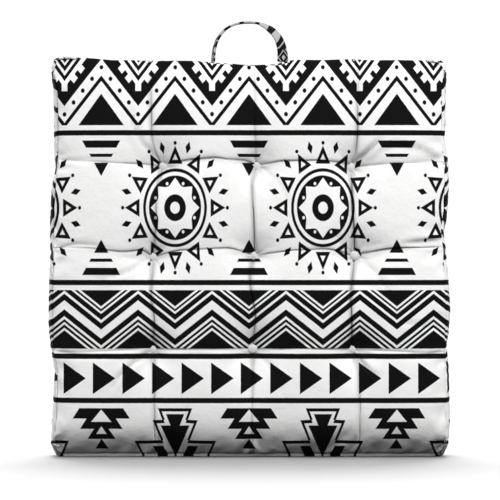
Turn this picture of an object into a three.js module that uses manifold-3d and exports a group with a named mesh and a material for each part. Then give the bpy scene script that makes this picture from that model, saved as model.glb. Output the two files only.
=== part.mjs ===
// Square tufted floor cushion with a carry handle, standing on its lower edge.
//
// Units are millimetres. +Z is up, the front faces -Y, and the origin is the middle of the resting edge.
// The cover is two panels sewn to a band of four boxing strips. A block of fibre fill sits inside, and nine
// twines pull a button on the front towards a button on the back. The handle is a folded fabric strap: two
// tabs stitched to the top boxing, two roots where the fabric bends, and the arch, which flops about X.
import * as THREE from "three";
import { mergeVertices } from "three/addons/utils/BufferGeometryUtils.js";
import Module from "manifold-3d";

// ---- driving dimensions ----------------------------------------------------------------------------------
const WIDTH = 660; // across the side boxing strips
const HEIGHT = 656; // from the resting edge to the top boxing strip
const CORNER_RADIUS = 14; // outside corner of the boxing, seen from the front

const BOXING_DEPTH = 100; // front seam to back seam
const BOXING_SHOULDER = 8; // rounded part of the boxing beside each seam, along the depth
const BOXING_BULGE = 9; // how far the boxing stands out past its seams
const CROWN = 15; // how far a puff stands out past the seam
const VALLEY = 0.45; // height of the valley between two puffs, as a share of the crown
const CROWN_FLAT = 0.88; // share of the crown at which a puff levels out
const PUFF_LINES = [0, 0.1, 0.32, 0.68, 0.9]; // grid lines over one puff, as shares of its width
const FABRIC = 1.2; // thickness of the cover fabric

const TUFTS = 3; // tufts along each side of the square grid
const TUFT_PITCH_X = 161; // between two tufts of a row
const TUFT_PITCH_Z = 151; // between two rows of tufts
const DIMPLE = 15; // how deep a tuft pulls the panel in, measured from the valley
const BUTTON_RADIUS = 8;
const BUTTON_RIM = 1.2; // thickness of the button at its edge
const BUTTON_DOME = 3; // rise of the button's face over its edge
const BUTTON_EASE = 0.5; // from the cloth of a dimple to the edge of its button
const TWINE_RADIUS = 1;
const TWINE_HOLE = 1.5; // radius of the hole a twine passes through

const STRAP_WIDTH = 25;
const STRAP_THICKNESS = 4;
const ARCH_HALF_SPAN = 62; // from the middle to the strap's centreline
const ARCH_RISE = 63; // from the top boxing to the strap's centreline, at its highest
const ARCH_BASE = 18; // where the arch begins, above the top boxing
const ARCH_FULLNESS = 0.6; // how square the arch's shoulders are; a circle's would be 0.55
const TAB_LENGTH = 38; // flat stitched end of the strap
const STITCH_THREAD = 1; // thickness of the stitching that holds a tab
const STITCH_MARGIN = 5; // from a tab's edge to its stitching

const GAP = 0.3; // clearance between pieces that touch

// ---- sizes that follow ---------------------------------------------------------------------------------
const SEAM_HALF_DEPTH = BOXING_DEPTH / 2;
const PANEL_INSET = BOXING_BULGE + FABRIC + GAP; // the panel's edge, measured in from the boxing's outside
const FILL_INSET = FABRIC + GAP; // the fill's edge, measured in from the boxing's outside
const DEEPEST = SEAM_HALF_DEPTH + CROWN + FABRIC; // past every panel
const PUFFS = TUFTS + 1;
const TOP = HEIGHT; // the top boxing, where the handle's tabs lie

const wasm = await Module();
wasm.setup();

// ---- solids from meshes ----------------------------------------------------------------------------------
/** A closed three.js geometry as a manifold solid. */
function solid(geometry) {
  const bare = geometry.index ? geometry.toNonIndexed() : geometry.clone();
  bare.deleteAttribute("normal");
  bare.deleteAttribute("uv");
  const merged = mergeVertices(bare, 1e-4);
  return new wasm.Manifold(
    new wasm.Mesh({
      numProp: 3,
      vertProperties: new Float32Array(merged.attributes.position.array),
      triVerts: new Uint32Array(merged.index.array),
    }),
  );
}

/** A manifold solid as a three.js geometry with flat faces. */
function geometryOf(shape) {
  const mesh = shape.getMesh();
  const indexed = new THREE.BufferGeometry()
    .setAttribute("position", new THREE.BufferAttribute(new Float32Array(mesh.vertProperties), 3))
    .setIndex(new THREE.BufferAttribute(new Uint32Array(mesh.triVerts), 1));
  const flat = indexed.toNonIndexed();
  flat.computeVertexNormals();
  return flat;
}

/** A shape drawn in X and Z, extruded along Y between two depths. */
function prism(shape, fromY, toY, curveSegments = 12) {
  return new THREE.ExtrudeGeometry(shape, { depth: toY - fromY, bevelEnabled: false, curveSegments })
    .rotateX(Math.PI / 2)
    .translate(0, toY, 0);
}

/** A closed mesh from a grid of points that wraps round in its second index, with a fan over each end. */
function loft(rings) {
  const around = rings[0].length;
  const points = rings.flat();
  const faces = [];
  for (let i = 0; i < rings.length - 1; i++)
    for (let j = 0; j < around; j++) {
      const a = i * around + j;
      const b = i * around + ((j + 1) % around);
      faces.push(a, b + around, b, a, a + around, b + around);
    }
  const last = (rings.length - 1) * around;
  for (let j = 1; j < around - 1; j++) faces.push(0, j, j + 1, last, last + j + 1, last + j);
  return new THREE.BufferGeometry()
    .setAttribute("position", new THREE.Float32BufferAttribute(points.flatMap((p) => p.toArray()), 3))
    .setIndex(faces);
}

// ---- the cushion's outline -------------------------------------------------------------------------------
const CORNER_STEPS = 5;

/** Points round the cushion's outline at one depth, set in from the outside of the boxing. */
function outline(inset, y) {
  const radius = Math.max(CORNER_RADIUS - inset, 1);
  const halfWidth = WIDTH / 2 - inset - radius;
  const halfHeight = HEIGHT / 2 - inset - radius;
  const signs = [[1, 1], [-1, 1], [-1, -1], [1, -1]];
  return signs.flatMap(([sx, sz], corner) =>
    Array.from({ length: CORNER_STEPS + 1 }, (_, k) => {
      const angle = ((corner + k / CORNER_STEPS) * Math.PI) / 2;
      return new THREE.Vector3(
        sx * halfWidth + radius * Math.cos(angle),
        y,
        HEIGHT / 2 + sz * halfHeight + radius * Math.sin(angle),
      );
    }),
  );
}

/** Depth and inset of the boxing's outer face, from the front seam to the back seam. */
function boxingProfile() {
  const steps = 4;
  const shoulder = Array.from({ length: steps + 1 }, (_, k) => {
    const angle = (k / steps) * (Math.PI / 2);
    const y = SEAM_HALF_DEPTH - BOXING_SHOULDER * (1 - Math.sin(angle));
    return [y, BOXING_BULGE * (1 - Math.cos(angle))];
  });
  const front = shoulder.map(([y, inset]) => [-y, inset]).reverse();
  return [...front, ...shoulder];
}

/** A solid whose sides follow the boxing, set in by a clearance, and run straight on past the seams. */
function boxingBlock(clearance, overrun) {
  const profile = boxingProfile();
  const seam = BOXING_BULGE;
  const rings = [[-SEAM_HALF_DEPTH - overrun, seam], ...profile, [SEAM_HALF_DEPTH + overrun, seam]];
  const used = overrun > 0 ? rings : profile;
  return solid(loft(used.map(([y, inset]) => outline(inset + clearance, y))));
}

// ---- the puffed face -------------------------------------------------------------------------------------
/** Where the valleys and the two edges of a face cross one of its sides, from its middle. */
function valleys(length, pitch) {
  const inner = Array.from({ length: TUFTS }, (_, k) => (k - (TUFTS - 1) / 2) * pitch);
  return [-length / 2, ...inner, length / 2];
}

/** A place along a side counted in puffs, so that each valley falls on a whole number. */
function puffCount(place, length, pitch) {
  const lines = valleys(length, pitch);
  const k = Math.min(Math.max(lines.findIndex((line) => place < line), 1), PUFFS) - 1;
  return k + (place - lines[k]) / (lines[k + 1] - lines[k]);
}

/** Height of a panel's outer face over the seam, at x and z measured from the middle of the face. */
function puff(x, z) {
  const u = (2 * x) / WIDTH;
  const v = (2 * z) / HEIGHT;
  const edge = (1 - u ** 8) * (1 - v ** 8);
  const across = Math.sin(puffCount(x, WIDTH, TUFT_PITCH_X) * Math.PI);
  const up = Math.sin(puffCount(z, HEIGHT, TUFT_PITCH_Z) * Math.PI);
  const lobe = Math.sqrt(Math.abs(across * up));
  const share = Math.min(edge * (VALLEY + (1 - VALLEY) * lobe), CROWN_FLAT) / CROWN_FLAT;
  const nearest = Math.min(...tuftCentres().map(([tx, tz]) => Math.hypot(x - tx, z - tz)));
  const reach = Math.min(TUFT_PITCH_X, TUFT_PITCH_Z) / 4;
  const pull = Math.max(0, 1 - Math.max(0, nearest - 2 * BUTTON_RADIUS) / reach) ** 2;
  return CROWN * share - DIMPLE * pull;
}

/** The tufts' places on a face, measured from its middle, row by row from the top left. */
function tuftCentres() {
  const steps = Array.from({ length: TUFTS }, (_, k) => k - (TUFTS - 1) / 2);
  return steps.flatMap((row) => steps.map((column) => [column * TUFT_PITCH_X, -row * TUFT_PITCH_Z]));
}

/** Grid lines across one side of a face: close together at the valleys and level over the puffs. */
function gridLines(length, pitch) {
  const lines = valleys(length, pitch);
  const within = (k) => PUFF_LINES.map((s) => lines[k] + s * (lines[k + 1] - lines[k]));
  return [...Array.from({ length: PUFFS }, (_, k) => within(k)).flat(), length / 2];
}

/** A solid between two puffed faces, where bottom and top give the depth of each at x and z. */
function puffedSlab(bottom, top) {
  const xs = gridLines(WIDTH, TUFT_PITCH_X);
  const zs = gridLines(HEIGHT, TUFT_PITCH_Z);
  const count = xs.length * zs.length;
  const at = (i, j, side) => side * count + i * zs.length + j;
  const points = [bottom, top].flatMap((depth) =>
    xs.flatMap((x) => zs.flatMap((z) => [x, depth(x, z), HEIGHT / 2 + z])),
  );
  const faces = [];
  const quad = (a, b, c, d) => faces.push(a, b, c, a, c, d);
  for (let i = 0; i < xs.length - 1; i++)
    for (let j = 0; j < zs.length - 1; j++) {
      quad(at(i, j, 0), at(i + 1, j, 0), at(i + 1, j + 1, 0), at(i, j + 1, 0));
      quad(at(i, j, 1), at(i, j + 1, 1), at(i + 1, j + 1, 1), at(i + 1, j, 1));
    }
  for (let i = 0; i < xs.length - 1; i++) {
    const last = zs.length - 1;
    quad(at(i, 0, 0), at(i, 0, 1), at(i + 1, 0, 1), at(i + 1, 0, 0));
    quad(at(i, last, 0), at(i + 1, last, 0), at(i + 1, last, 1), at(i, last, 1));
  }
  for (let j = 0; j < zs.length - 1; j++) {
    const last = xs.length - 1;
    quad(at(0, j, 0), at(0, j + 1, 0), at(0, j + 1, 1), at(0, j, 1));
    quad(at(last, j, 0), at(last, j, 1), at(last, j + 1, 1), at(last, j + 1, 0));
  }
  const geometry = new THREE.BufferGeometry()
    .setAttribute("position", new THREE.Float32BufferAttribute(points, 3))
    .setIndex(faces);
  return solid(geometry);
}

/** Nine round channels along Y, one at each tuft. */
function tuftChannels(radius) {
  const bar = new THREE.CylinderGeometry(radius, radius, 2 * DEEPEST, 8);
  return tuftCentres().map(([x, z]) => solid(bar.clone().translate(x, 0, HEIGHT / 2 + z)));
}

// ---- cover and fill --------------------------------------------------------------------------------------
/** A cover panel, with a stitch hole at each tuft. side is -1 for the front and 1 for the back. */
function panel(side) {
  const outer = (x, z) => side * (SEAM_HALF_DEPTH + puff(x, z));
  const inner = (x, z) => outer(x, z) - side * FABRIC;
  const slab = side < 0 ? puffedSlab(outer, inner) : puffedSlab(inner, outer);
  const cutter = solid(loft([-DEEPEST, DEEPEST].map((y) => outline(PANEL_INSET, y))));
  return tuftChannels(TWINE_HOLE).reduce((shape, hole) => shape.subtract(hole), slab.intersect(cutter));
}

/** The fibre fill: a block that follows the inside of the cover, with a channel for each twine. */
function fill() {
  const depth = (x, z) => SEAM_HALF_DEPTH + puff(x, z) - FABRIC - GAP;
  const block = puffedSlab((x, z) => -depth(x, z), depth);
  const sides = boxingBlock(FILL_INSET, CROWN + FABRIC);
  return tuftChannels(TWINE_HOLE).reduce((shape, hole) => shape.subtract(hole), block.intersect(sides));
}

/** One boxing strip. quarter turns run from the top, clockwise seen from the front. */
function boxingStrip(quarter) {
  const hollow = boxingBlock(FABRIC, CROWN);
  const band = boxingBlock(0, 0).subtract(hollow);
  const reach = 4 * CORNER_RADIUS;
  const across = (quarter % 2 ? HEIGHT : WIDTH) / 2;
  const out = (quarter % 2 ? WIDTH : HEIGHT) / 2;
  const wedge = new THREE.Shape([
    new THREE.Vector2(-across - reach + GAP, out + reach),
    new THREE.Vector2(-across + reach + GAP, out - reach),
    new THREE.Vector2(across - reach - GAP, out - reach),
    new THREE.Vector2(across + reach - GAP, out + reach),
  ]);
  const cutter = prism(wedge, -DEEPEST, DEEPEST)
    .rotateY((quarter * Math.PI) / 2)
    .translate(0, 0, HEIGHT / 2);
  return band.intersect(solid(cutter));
}

// ---- tufts -----------------------------------------------------------------------------------------------
/** Depth of the panel's outer face at a tuft. */
function tuftDepth([x, z]) {
  return SEAM_HALF_DEPTH + puff(x, z);
}

/** How steeply a panel rises from a tuft towards the nearest grid lines. */
function dimpleSlope([x, z]) {
  const [dx, dz] = [PUFF_LINES[1] * TUFT_PITCH_X, PUFF_LINES[1] * TUFT_PITCH_Z];
  return (puff(x + dx, z + dz) - puff(x, z)) / Math.hypot(dx, dz);
}

/** A covered button: a cone that clears the dimple, a thin rim and a domed face, on the side given. */
function button(side, place) {
  const steps = 3;
  const back = BUTTON_RADIUS * dimpleSlope(place) + BUTTON_EASE;
  const dome = Array.from({ length: steps }, (_, k) => {
    const angle = ((k + 1) / steps) * (Math.PI / 2);
    return new THREE.Vector2(
      BUTTON_RADIUS * Math.cos(angle),
      back + BUTTON_RIM + BUTTON_DOME * Math.sin(angle),
    );
  });
  dome[steps - 1].x = 0;
  const profile = [
    new THREE.Vector2(0, 0),
    new THREE.Vector2(BUTTON_RADIUS, back),
    new THREE.Vector2(BUTTON_RADIUS, back + BUTTON_RIM),
    ...dome,
  ];
  return new THREE.LatheGeometry(profile, 12).rotateZ(side < 0 ? Math.PI : 0);
}

/** The twine between a front button and a back button. */
function twine(place) {
  return new THREE.CylinderGeometry(TWINE_RADIUS, TWINE_RADIUS, 2 * tuftDepth(place), 8);
}

// ---- handle ----------------------------------------------------------------------------------------------
/** The arch of the strap, drawn from the front: an outer and an inner curve over the same base. */
function arch() {
  const half = STRAP_THICKNESS / 2;
  const base = TOP + ARCH_BASE;
  const shape = new THREE.Shape();
  const over = (reach, direction) => {
    const crest = TOP + ARCH_RISE + reach - ARCH_HALF_SPAN;
    const shoulder = base + ARCH_FULLNESS * (crest - base);
    const foot = direction * reach;
    const pull = ARCH_FULLNESS * foot;
    shape.bezierCurveTo(foot, shoulder, pull, crest, 0, crest);
    shape.bezierCurveTo(-pull, crest, -foot, shoulder, -foot, base);
  };
  shape.moveTo(-ARCH_HALF_SPAN - half, base);
  over(ARCH_HALF_SPAN + half, -1);
  shape.lineTo(ARCH_HALF_SPAN - half, base);
  over(ARCH_HALF_SPAN - half, 1);
  shape.closePath();
  return prism(shape, -STRAP_WIDTH / 2, STRAP_WIDTH / 2, 14);
}

/** The upright root of the strap between a tab and the arch. side is -1 on the left and 1 on the right. */
function strapRoot(side) {
  const height = ARCH_BASE - 2 * GAP;
  const middle = TOP + GAP + height / 2;
  const root = new THREE.BoxGeometry(STRAP_THICKNESS, STRAP_WIDTH, height);
  return root.translate(side * ARCH_HALF_SPAN, 0, middle);
}

/** Where a tab starts and ends along X, on the right-hand side. */
function tabSpan() {
  const start = ARCH_HALF_SPAN + STRAP_THICKNESS / 2 + GAP;
  return [start, start + TAB_LENGTH];
}

/** A flat tab of the strap on the top boxing. */
function tab(side) {
  const [start, end] = tabSpan();
  return new THREE.BoxGeometry(TAB_LENGTH, STRAP_WIDTH, STRAP_THICKNESS).translate(
    (side * (start + end)) / 2,
    0,
    TOP + GAP + STRAP_THICKNESS / 2,
  );
}

/** The stitching on a tab: a rectangle of thread with a cross in it. */
function tabStitching(side) {
  const length = TAB_LENGTH - 2 * STITCH_MARGIN;
  const width = STRAP_WIDTH - 2 * STITCH_MARGIN;
  const diagonal = Math.hypot(length, width) - STITCH_THREAD;
  const slope = Math.atan2(width, length);
  const run = (size, x, y, turn) =>
    solid(new THREE.BoxGeometry(size, STITCH_THREAD, STITCH_THREAD).rotateZ(turn).translate(x, y, 0));
  const square = STITCH_THREAD;
  const runs = [
    run(length + square, 0, width / 2, 0),
    run(length + square, 0, -width / 2, 0),
    run(width, length / 2, 0, Math.PI / 2),
    run(width, -length / 2, 0, Math.PI / 2),
    run(diagonal, 0, 0, slope),
    run(diagonal, 0, 0, -slope),
  ];
  const [start, end] = tabSpan();
  const height = TOP + GAP + STRAP_THICKNESS + GAP + STITCH_THREAD / 2;
  return runs.reduce((all, one) => all.add(one)).translate([(side * (start + end)) / 2, 0, height]);
}

// ---- the cushion -----------------------------------------------------------------------------------------
const cloth = new THREE.MeshStandardMaterial({ color: 0xf1f1f0, roughness: 0.9, metalness: 0 });
const lining = new THREE.MeshStandardMaterial({ color: 0xe4e2dd, roughness: 0.95, metalness: 0 });
const cord = new THREE.MeshStandardMaterial({ color: 0xe9e7e1, roughness: 0.85, metalness: 0 });
const thread = new THREE.MeshStandardMaterial({ color: 0x1b1b1c, roughness: 0.7, metalness: 0 });

const cushion = new THREE.Group();

function piece(name, geometry, material, x = 0, y = 0, z = 0) {
  const mesh = new THREE.Mesh(geometry, material);
  mesh.name = name;
  mesh.position.set(x, y, z);
  cushion.add(mesh);
}

piece("front_panel", geometryOf(panel(-1)), cloth);
piece("back_panel", geometryOf(panel(1)), cloth);
["top", "right", "bottom", "left"].forEach((edge, quarter) =>
  piece(`boxing_${edge}`, geometryOf(boxingStrip(quarter)), cloth),
);
piece("fiber_fill", geometryOf(fill()), lining);

tuftCentres().forEach((place, index) => {
  const [x, z] = [place[0], HEIGHT / 2 + place[1]];
  const spot = `row${Math.floor(index / TUFTS) + 1}_${(index % TUFTS) + 1}`;
  const buttonDepth = tuftDepth(place) + GAP;
  piece(`front_button_${spot}`, button(-1, place), cloth, x, -buttonDepth, z);
  piece(`back_button_${spot}`, button(1, place), cloth, x, buttonDepth, z);
  piece(`tuft_twine_${spot}`, twine(place), cord, x, 0, z);
});

piece("handle_strap", arch(), cloth);
[["left", -1], ["right", 1]].forEach(([hand, side]) => {
  piece(`handle_root_${hand}`, strapRoot(side), cloth);
  piece(`handle_tab_${hand}`, tab(side), cloth);
  piece(`handle_stitching_${hand}`, geometryOf(tabStitching(side)), thread);
});

export default cushion;
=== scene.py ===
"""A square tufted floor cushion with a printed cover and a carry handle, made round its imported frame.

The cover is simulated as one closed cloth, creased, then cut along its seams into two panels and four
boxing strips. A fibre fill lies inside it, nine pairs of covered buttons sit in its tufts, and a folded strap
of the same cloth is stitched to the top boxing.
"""

import math

import bmesh
import bpy
import numpy as np
from mathutils import Matrix, Vector


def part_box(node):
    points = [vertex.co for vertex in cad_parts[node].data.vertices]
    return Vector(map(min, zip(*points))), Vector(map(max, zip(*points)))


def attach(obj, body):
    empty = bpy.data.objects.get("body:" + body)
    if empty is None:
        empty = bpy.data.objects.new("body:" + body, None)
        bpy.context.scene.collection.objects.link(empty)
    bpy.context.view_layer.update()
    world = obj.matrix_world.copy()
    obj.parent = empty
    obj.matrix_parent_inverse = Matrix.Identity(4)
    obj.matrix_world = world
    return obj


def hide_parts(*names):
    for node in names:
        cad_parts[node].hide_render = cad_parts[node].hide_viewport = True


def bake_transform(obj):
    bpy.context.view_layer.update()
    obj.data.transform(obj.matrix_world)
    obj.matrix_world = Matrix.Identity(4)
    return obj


bl_info = {
    "name": "Tufted floor cushion",
    "version": (1, 0, 0),
    "blender": (4, 5, 0),
    "location": "View3D > Sidebar > Cushion",
    "description": "Makes a tufted floor cushion with a printed cover and a carry handle",
    "category": "Add Mesh",
}

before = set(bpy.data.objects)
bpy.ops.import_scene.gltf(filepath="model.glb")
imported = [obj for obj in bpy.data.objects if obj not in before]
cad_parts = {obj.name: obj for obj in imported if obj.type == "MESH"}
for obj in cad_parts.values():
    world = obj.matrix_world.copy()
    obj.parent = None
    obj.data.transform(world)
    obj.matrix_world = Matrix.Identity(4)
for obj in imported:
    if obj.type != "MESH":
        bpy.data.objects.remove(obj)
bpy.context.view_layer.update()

TUFTS = 3  # along each side of the square grid
PUFFS = TUFTS + 1
SPOTS = [(row, column) for row in range(1, TUFTS + 1) for column in range(1, TUFTS + 1)]


def box_middle(node, axis):
    """The middle of a node's box along one axis."""
    low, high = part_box(node)
    return (low[axis] + high[axis]) / 2


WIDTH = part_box("boxing_right")[1][0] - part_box("boxing_left")[0][0]
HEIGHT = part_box("boxing_top")[1][2]
SEAM_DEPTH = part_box("boxing_top")[1][1]  # from the middle of the cushion to a seam
CROWN_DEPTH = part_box("back_panel")[1][1]  # to the crown of a puff
TUFT_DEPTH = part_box("tuft_twine_row2_2")[1][1]  # to the end of a twine
COLUMNS = [box_middle(f"tuft_twine_row1_{column}", 0) for column in range(1, TUFTS + 1)]
ROWS = [box_middle(f"tuft_twine_row{row}_1", 2) for row in range(1, TUFTS + 1)]
HALF_SPAN = box_middle("handle_root_right", 0)
STRAP_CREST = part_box("handle_strap")[1][2]
TAB_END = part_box("handle_tab_right")[1][0]
DIMPLE_REACH = 0.034  # from a button to where the cloth no longer dips towards it
MM = 0.001


# ---- settings --------------------------------------------------------------------------------------------
def length_setting(name, description, default):
    """A setting in metres."""
    return bpy.props.FloatProperty(name=name, description=description, default=default, unit="LENGTH")


def share_setting(name, description, default):
    """A setting without a unit, such as a share."""
    return bpy.props.FloatProperty(name=name, description=description, default=default)


def whole_setting(name, description, default):
    """A setting that is a whole number."""
    return bpy.props.IntProperty(name=name, description=description, default=default)


def angle_setting(name, description, default):
    """A setting in radians."""
    return bpy.props.FloatProperty(name=name, description=description, default=default, subtype="ANGLE")


def colour_setting(name, description, default):
    """A setting that is a colour."""
    return bpy.props.FloatVectorProperty(
        name=name, description=description, default=default, subtype="COLOR"
    )


class CoverSettings(bpy.types.PropertyGroup):
    """Sizes of the printed cover."""

    side_inset: length_setting("Side inset", "From the outside of the side boxing to its seams", 0.0075)
    top_inset: length_setting("Top inset", "From the outside of the top boxing to its seams", 0.004)
    foot_inset: length_setting("Foot inset", "From the floor to the seams over it", 0.004)
    roll: share_setting("Roll", "How far the faces roll under at the floor, in quarter circles", 0.8)
    roll_height: length_setting("Roll height", "Height over which the faces roll under", 0.062)
    seam_hold: share_setting("Seam hold", "How firmly the seams keep their place as the cloth settles", 0.7)
    crown: length_setting("Crown", "How far a puff stands out past the seams", CROWN_DEPTH - SEAM_DEPTH)
    tuft_depth: length_setting("Tuft depth", "From the middle plane to the cloth under a button", TUFT_DEPTH)
    corner_radius: length_setting("Corner radius", "Radius of the boxing's corners", 0.016)
    thickness: length_setting("Cloth thickness", "Thickness of the cover's cloth", 0.0012)
    cells: whole_setting("Cells", "Square cells of cloth across one face before it is smoothed", 96)
    start_share: share_setting("Start", "Share of the crown that the cloth has before it settles", 0.62)
    swell_limit: length_setting("Swell limit", "The most that the settling cloth moves", 0.009)
    surplus: share_setting("Surplus", "How much longer the cloth is than its start, as a share", 0.03)
    pressure: share_setting("Pressure", "How hard the fill pushes the cloth out while it settles", 3.0)
    frames: whole_setting("Frames", "Steps for which the cloth settles", 22)


class StrapSettings(bpy.types.PropertyGroup):
    """Sizes of the carry handle and of the buttons."""

    width: length_setting("Strap width", "Width of the folded strap", 0.025)
    thickness: length_setting("Strap thickness", "Thickness of the folded strap", 0.004)
    twist: angle_setting("Twist", "How far the strap turns at its right foot", math.radians(46))
    button_radius: length_setting("Button radius", "Radius of a covered button", 0.008)


class ColourSettings(bpy.types.PropertyGroup):
    """Colours of the cloth, the ink and the threads."""

    cloth: colour_setting("Cloth", "Bare white cloth", (0.87, 0.87, 0.865))
    ink: colour_setting("Ink", "Printed black", (0.003, 0.003, 0.0033))
    fill: colour_setting("Fill", "Polyester fibre", (0.86, 0.85, 0.83))
    twine: colour_setting("Twine", "Waxed tufting twine", (0.78, 0.74, 0.66))
    thread: colour_setting("Thread", "Sewing thread on the handle's tabs", (0.02, 0.02, 0.021))
    floor: colour_setting("Floor", "Studio floor", (0.8, 0.8, 0.8))


# ---- shader expressions ----------------------------------------------------------------------------------
class Wave:
    """A shader socket in a Python expression: an operator on it adds a Math node. & and | keep the lesser and
    the greater of two masks, and ~ turns one over."""

    def __init__(self, finish, socket):
        self.finish = finish
        self.socket = socket

    def math(self, operation, *others, clamp=False):
        settings = {"operation": operation, "use_clamp": clamp}
        return self.finish.node("ShaderNodeMath", settings, dict(enumerate((self, *others))))

    def __add__(self, other):
        return self.math("ADD", other)

    def __sub__(self, other):
        return self.math("SUBTRACT", other)

    def __mul__(self, other):
        return self.math("MULTIPLY", other)

    def __truediv__(self, other):
        return self.math("DIVIDE", other)

    def __rsub__(self, other):
        return self.math("MULTIPLY_ADD", -1.0, other)

    def __abs__(self):
        return self.math("ABSOLUTE")

    def __and__(self, other):
        return self.math("MINIMUM", other)

    def __or__(self, other):
        return self.math("MAXIMUM", other)

    def __invert__(self):
        return 1.0 - self

    def __pow__(self, other):
        return self.math("POWER", other)

    __radd__ = __add__
    __rmul__ = __mul__

    def times_plus(self, factor, term, clamp=False):
        return self.math("MULTIPLY_ADD", factor, term, clamp=clamp)

    def sine(self):
        return self.math("SINE")

    def cosine(self):
        return self.math("COSINE")

    def folded(self, length):
        """The distance to the nearest even multiple of a length, so that what repeats is drawn once."""
        return self.math("PINGPONG", length)

    def snapped(self, step):
        return self.math("SNAP", step)


class Finish:
    """One procedural material: its nodes and its surface shader."""

    def __init__(self, name, **constants):
        self.material = bpy.data.materials.new(name)
        self.material.use_nodes = True
        self.nodes = self.material.node_tree.nodes
        self.links = self.material.node_tree.links
        self.surface = self.nodes["Principled BSDF"]
        for socket, value in constants.items():
            self.surface.inputs[socket.replace("_", " ")].default_value = value

    def node(self, kind, settings=None, sockets=None, output=0):
        """Adds a node of that type, sets it, fills its sockets with values or links: returns an output."""
        made = self.nodes.new(kind)
        for name, value in (settings or {}).items():
            setattr(made, name, value)
        for key, value in (sockets or {}).items():
            if isinstance(value, Wave):
                self.links.new(value.socket, made.inputs[key])
            else:
                made.inputs[key].default_value = value
        return Wave(self, made.outputs[output])

    def feed(self, **sockets):
        """Links waves to the surface shader's own sockets."""
        for name, wave in sockets.items():
            self.links.new(wave.socket, self.surface.inputs[name.replace("_", " ")])

    def place(self, uv_map=None):
        """X, Y and Z of the shaded point in millimetres: in the piece's UV map, or in its object's space."""
        if uv_map:
            where = self.node("ShaderNodeUVMap", {"uv_map": uv_map})
        else:
            where = self.node("ShaderNodeTexCoord", output="Object")
        big = self.scaled(where, 1 / MM)
        split = [self.node("ShaderNodeSeparateXYZ", None, {0: big}, output=axis) for axis in range(3)]
        return big, *split

    def noise(self, where, scale, detail=2.0, roughness=0.5):
        sockets = {"Vector": where, "Scale": scale, "Detail": detail, "Roughness": roughness}
        return self.node("ShaderNodeTexNoise", None, sockets)

    def amount(self, attribute):
        """A number that each point of the piece carries."""
        return self.node("ShaderNodeAttribute", {"attribute_name": attribute}, output=2)

    def stretched(self, where, x=1.0, y=1.0, z=1.0):
        return self.node("ShaderNodeVectorMath", {"operation": "MULTIPLY"}, {0: where, 1: (x, y, z)})

    def scaled(self, vector, amount):
        """A colour or a vector times a number, each of which may be a wave."""
        return self.node("ShaderNodeVectorMath", {"operation": "SCALE"}, {0: vector, "Scale": amount})

    def mix(self, factor, first, second):
        """A colour between two: each is a colour or a wave that carries one."""
        colours = [(*c, 1.0) if isinstance(c, tuple) else c for c in (first, second)]
        sockets = {0: factor, 6: colours[0], 7: colours[1]}
        return self.node("ShaderNodeMix", {"data_type": "RGBA"}, sockets, output=2)

    def bump(self, height, distance, strength=1.0, normal=None):
        sockets = {"Height": height, "Distance": distance, "Strength": strength}
        if normal:
            sockets["Normal"] = normal
        return self.node("ShaderNodeBump", None, sockets)


# ---- the print -------------------------------------------------------------------------------------------
# All in millimetres of cloth. "down" runs from the fold, the line at the top edge about which the print is
# mirrored. Bands of the print lie one under another, and each repeats sideways.
INK_EDGE = 0.9  # width over which ink fades out
REPEAT = 120.9  # width of one zigzag
FOLD = 656.0  # height of the fold over the floor
PRINT_HEIGHT = 662.0  # from the fold to the next mirror line, under the cushion
PRINT_SHIFT = -0.8  # the print's middle line, to the right of the cushion's
STRETCH = 1.24  # the print is drawn taller than it is wide


def under(wave, limit):
    """1 where a wave is under a limit, which is a number or another wave, and 0 over it."""
    if isinstance(limit, Wave):
        return (limit - wave).times_plus(1 / INK_EDGE, 0.5, clamp=True)
    return wave.times_plus(-1 / INK_EDGE, limit / INK_EDGE + 0.5, clamp=True)


def over(wave, limit):
    """1 where a wave is over a limit, which is a number or another wave, and 0 under it."""
    if isinstance(limit, Wave):
        return under(limit, wave)
    return wave.times_plus(1 / INK_EDGE, 0.5 - limit / INK_EDGE, clamp=True)


def between(wave, low, high):
    """1 where a wave lies between two numbers, and 0 elsewhere."""
    return under(abs(wave - (low + high) / 2), (high - low) / 2)


def any_of(masks):
    """The greatest of several masks."""
    joined = masks[0]
    for mask in masks[1:]:
        joined = joined | mask
    return joined


def distance(x, y):
    """How far two waves, as a place, lie from nought."""
    return (x * x + y * y).math("SQRT")


def chevron_band(a, b, down):
    """The top band: nested V shapes between hills, with a row of dots along each hill."""
    v_outline = under(down, a.times_plus(1.29, 1.2))
    slant = down + b * 1.38
    along = down - b * 1.147
    gaps = [between(slant, low, high) for low, high in ((7.6, 12.4), (21.7, 28.7), (38.0, 48.9))]
    stem = under(b, 4.7) & under(down, 54.3) & over(slant, 38.0)
    tooth_pitch, tooth_half = 28.7, 8.2
    teeth = (
        under((along - 15.6).folded(tooth_pitch / 2), tooth_half)
        & between(slant, 48.0, 62.9)
        & between(along, -21.3, 24.0)
    )
    inside = v_outline & ~any_of([*gaps, stem, teeth])
    dot_pitch = REPEAT / 8
    nearest = (a + dot_pitch / 2).snapped(dot_pitch)
    dot = distance(a - nearest, (down - nearest.times_plus(1.279, 15.1)) / 1.18)
    hill = a * 1.286
    ridge = between(down - hill, 28.6, 38.0) & under(down, 110.5)
    peak = over(down - a * 1.387, 58.8) & under(down, 110.5)
    return inside | under(dot, 3.2) | ridge | peak


def line_rows(down):
    """Four plain lines across the cloth."""
    return any_of([between(down, low, low + 8.7) for low in (118.5, 363.4, 484.1, 556.3)])


SUN_DOWN = 245.4  # from the fold to the middle of the rayed discs


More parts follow.
